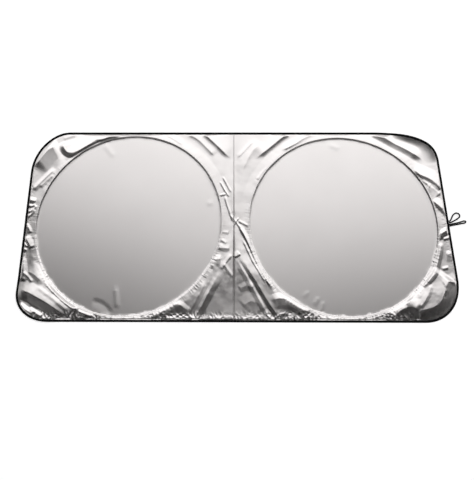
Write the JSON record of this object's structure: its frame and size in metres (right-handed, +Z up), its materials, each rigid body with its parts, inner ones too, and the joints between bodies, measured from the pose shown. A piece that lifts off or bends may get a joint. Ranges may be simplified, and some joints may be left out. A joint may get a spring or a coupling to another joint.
{
  "type": "windscreen sunshade",
  "caption": "Twist-fold windscreen sunshade: a wide round-cornered sheet of silver-coated cloth with spring hoops, black edge tape and elastic loops.",
  "frame": {"origin": "middle of the sheet's bounding box, on the surface that it lies on", "axes": "+X to the right of the silver side, along the windscreen's width; +Y to the top edge; +Z up, out of the silver side"},
  "size_m": [1.5238, 0.6446, 0.0145],
  "materials": {
    "silver_cloth": "silver-coated polyester, satin sheen, creased",
    "black_tape": "woven polyester bias tape, matt",
    "spring_steel": "drawn spring wire",
    "crimp_metal": "crimped tube",
    "black_elastic": "braided cover, matt"
  },
  "bodies": {
    "root": {"panel_left": "silver_cloth", "panel_right": "silver_cloth", "hoop_wire_left": "spring_steel", "hoop_wire_right": "spring_steel", "hoop_sleeve_left": "crimp_metal", "hoop_sleeve_right": "crimp_metal", "hoop_casing_left": "black_tape", "hoop_casing_right": "black_tape", "edge_binding": "black_tape", "centre_seam_tape": "black_tape", "elastic_loop_open": "black_elastic", "elastic_loop_flat": "black_elastic"}
  },
  "joints": []
}
